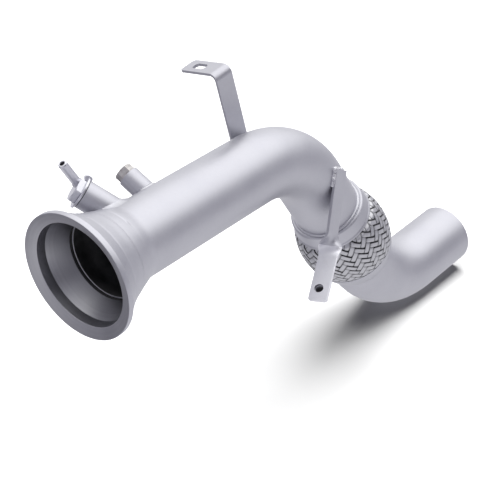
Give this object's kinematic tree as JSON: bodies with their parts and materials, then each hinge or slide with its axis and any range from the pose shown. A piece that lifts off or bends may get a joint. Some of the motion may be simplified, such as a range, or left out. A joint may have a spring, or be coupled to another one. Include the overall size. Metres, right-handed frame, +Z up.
{
  "type": "turbo downpipe",
  "caption": "Turbo downpipe: machined clamp flange, bent stainless tube with pressure and sensor bosses, braided flexible section, outlet elbow and two strap brackets.",
  "frame": {"origin": "centre of the inlet flange's front rim, on the flange's axis", "axes": "+X along the flange's axis into the pipe, +Z up with the flange's axis level, +Y to the pressure take-off's side"},
  "size_m": [0.5629, 0.1791, 0.3624],
  "materials": {
    "machined_steel": "turned, fine rings",
    "blasted_steel": "bead blasted, satin",
    "braid_wire": "flat wire braid, satin",
    "thin_steel": "rolled, plain",
    "plated_steel": "zinc plated, satin",
    "plug_steel": "bare turned steel",
    "weld_steel": "weld bead, bright"
  },
  "bodies": {
    "root": {"inlet_flange": "machined_steel", "main_pipe": "blasted_steel", "outlet_elbow": "blasted_steel", "flex_front_collar": "blasted_steel", "flex_rear_collar": "blasted_steel", "flex_braid": "braid_wire", "flex_bellows": "thin_steel", "flex_liner": "thin_steel", "pressure_boss": "blasted_steel", "pressure_washer": "plated_steel", "pressure_fitting": "plated_steel", "hose_tube": "plated_steel", "sensor_bung": "blasted_steel", "bung_plug": "plug_steel", "upper_bracket": "blasted_steel", "lower_bracket": "blasted_steel", "foot_bush": "plated_steel", "flange_weld": "weld_steel", "boss_weld": "weld_steel", "bung_weld": "weld_steel", "front_collar_weld": "weld_steel", "rear_collar_weld": "weld_steel", "upper_bracket_weld": "weld_steel", "lower_bracket_weld": "weld_steel"}
  },
  "joints": []
}
